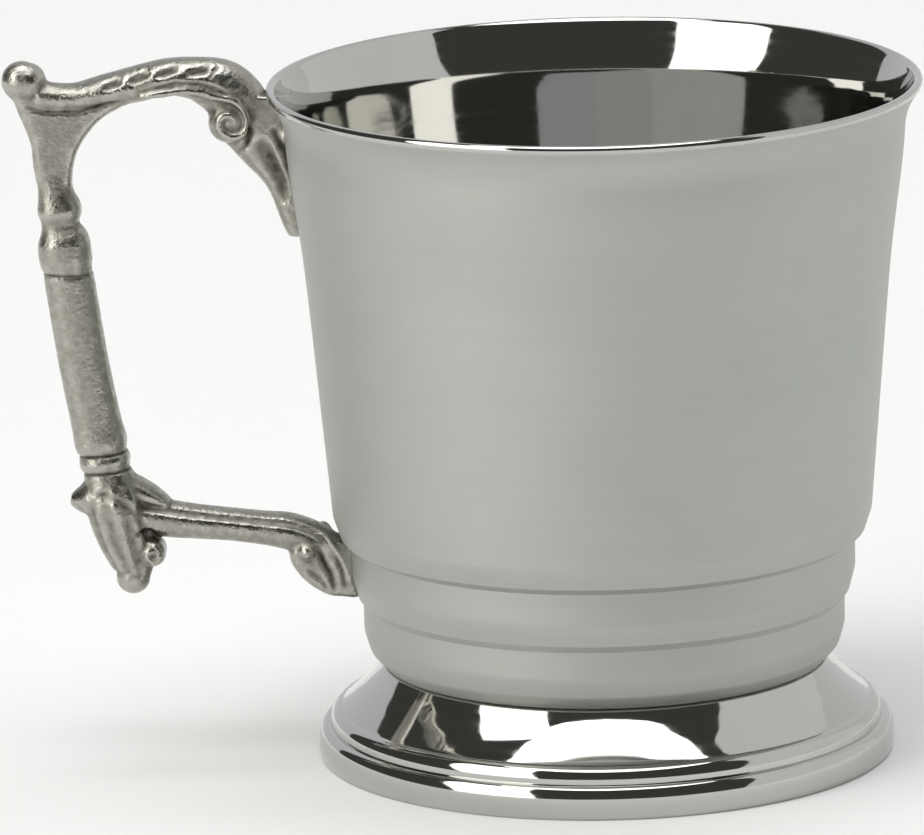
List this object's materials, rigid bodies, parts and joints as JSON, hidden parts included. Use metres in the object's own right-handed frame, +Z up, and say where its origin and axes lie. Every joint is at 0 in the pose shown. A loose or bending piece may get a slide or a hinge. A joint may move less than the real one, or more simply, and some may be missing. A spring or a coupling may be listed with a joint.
{
  "type": "christening tankard",
  "caption": "Small stepped pewter tankard with a flared rim, a spun spreading foot and an ornate cast scroll handle with thumb knob, volutes and fluted bud.",
  "frame": {"origin": "middle of the whole tankard's bounding box, handle included, on the plane that the foot stands on", "axes": "+X from the handle to the far side of the cup, +Y to the back with the handle on the left, +Z up; the handle lies in the plane y = 0"},
  "size_m": [0.1174, 0.084, 0.0918],
  "materials": {
    "satin_pewter": "spun pewter, satin outside and polished inside",
    "polished_pewter": "mirror-polished pewter",
    "cast_pewter": "antiqued cast pewter, dark in the recesses"
  },
  "bodies": {
    "root": {"cup": "satin_pewter", "foot": "polished_pewter", "handle": "cast_pewter"}
  },
  "joints": []
}
